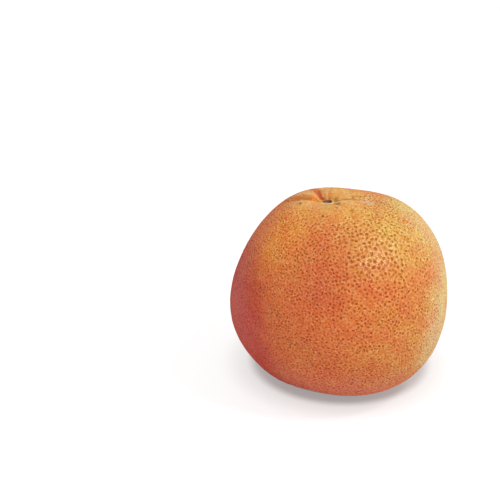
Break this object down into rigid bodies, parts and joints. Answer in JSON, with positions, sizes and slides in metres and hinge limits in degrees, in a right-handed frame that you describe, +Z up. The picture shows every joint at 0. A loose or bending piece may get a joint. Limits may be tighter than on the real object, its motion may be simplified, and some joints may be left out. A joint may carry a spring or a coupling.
{
  "type": "grapefruit",
  "caption": "Whole fresh grapefruit: a lopsided round fruit with a pebbled peel, a sunken stem scar with folds running out of it, and a small flat it rests on.",
  "frame": {"origin": "on the ground under the middle of the fruit's bounding box", "axes": "+Z up with the stem end on top, leaning a little towards -X; +X towards the side with the two full shoulders"},
  "size_m": [0.108, 0.1056, 0.1012],
  "materials": {
    "grapefruit_peel": "waxy pebbled peel with fine oil-gland pits: golden orange, blushed pink-red on one side"
  },
  "bodies": {
    "root": {"grapefruit": "grapefruit_peel"}
  },
  "joints": []
}
